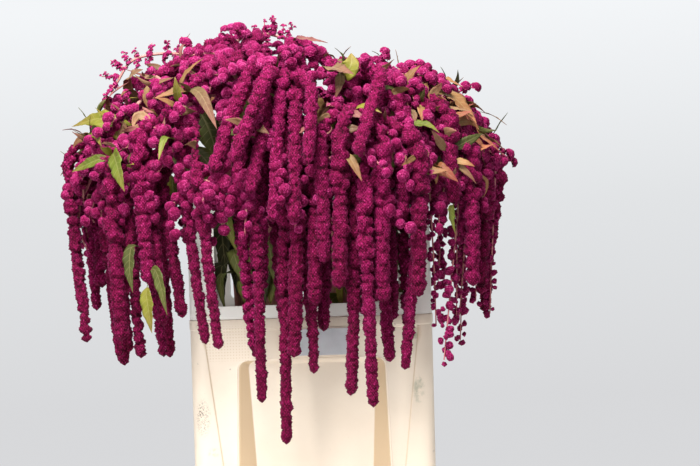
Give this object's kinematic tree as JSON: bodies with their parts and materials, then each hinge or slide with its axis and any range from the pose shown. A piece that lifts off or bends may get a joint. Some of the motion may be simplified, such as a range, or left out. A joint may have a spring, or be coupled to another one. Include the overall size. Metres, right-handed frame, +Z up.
{
  "type": "bunch of amaranth seed heads in a flower bucket",
  "caption": "Cut bunch of drooping magenta amaranth seed heads with leaves, standing in a tall plastic flower bucket with a windowed collar.",
  "frame": {"origin": "centre of the bucket's underside, on the surface that it stands on", "axes": "+Z up, the bucket's front with the card pocket faces -Y, +X to the right seen from the front"},
  "size_m": [0.6703, 0.5722, 0.8291],
  "materials": {
    "seed_head": "dense granular clusters of tiny dry florets, matt, deep magenta with paler pink tips",
    "stem_and_leaf": "fresh to half dry leaf and stem, olive green, orange brown and pink, softly satin",
    "bucket_plastic": "cream moulded plastic, satin, lightly scuffed",
    "collar_plastic": "greyer cream moulded plastic, satin",
    "clear_pocket": "clear bluish sheet, glossy",
    "water": "clear still water"
  },
  "bodies": {
    "root": {"seed_head_01": "seed_head", "stem_01": "stem_and_leaf", "seed_head_02": "seed_head", "stem_02": "stem_and_leaf", "seed_head_03": "seed_head", "stem_03": "stem_and_leaf", "seed_head_04": "seed_head", "stem_04": "stem_and_leaf", "seed_head_05": "seed_head", "stem_05": "stem_and_leaf", "seed_head_06": "seed_head", "stem_06": "stem_and_leaf", "seed_head_07": "seed_head", "stem_07": "stem_and_leaf", "seed_head_08": "seed_head", "stem_08": "stem_and_leaf", "seed_head_09": "seed_head", "stem_09": "stem_and_leaf", "seed_head_10": "seed_head", "stem_10": "stem_and_leaf", "seed_head_11": "seed_head", "stem_11": "stem_and_leaf", "seed_head_12": "seed_head", "stem_12": "stem_and_leaf", "seed_head_13": "seed_head", "stem_13": "stem_and_leaf", "seed_head_14": "seed_head", "stem_14": "stem_and_leaf", "seed_head_15": "seed_head", "stem_15": "stem_and_leaf", "seed_head_16": "seed_head", "stem_16": "stem_and_leaf", "seed_head_17": "seed_head", "stem_17": "stem_and_leaf", "seed_head_18": "seed_head", "stem_18": "stem_and_leaf", "bucket": "bucket_plastic", "collar": "collar_plastic", "card_pocket": "clear_pocket", "water": "water"}
  },
  "joints": []
}
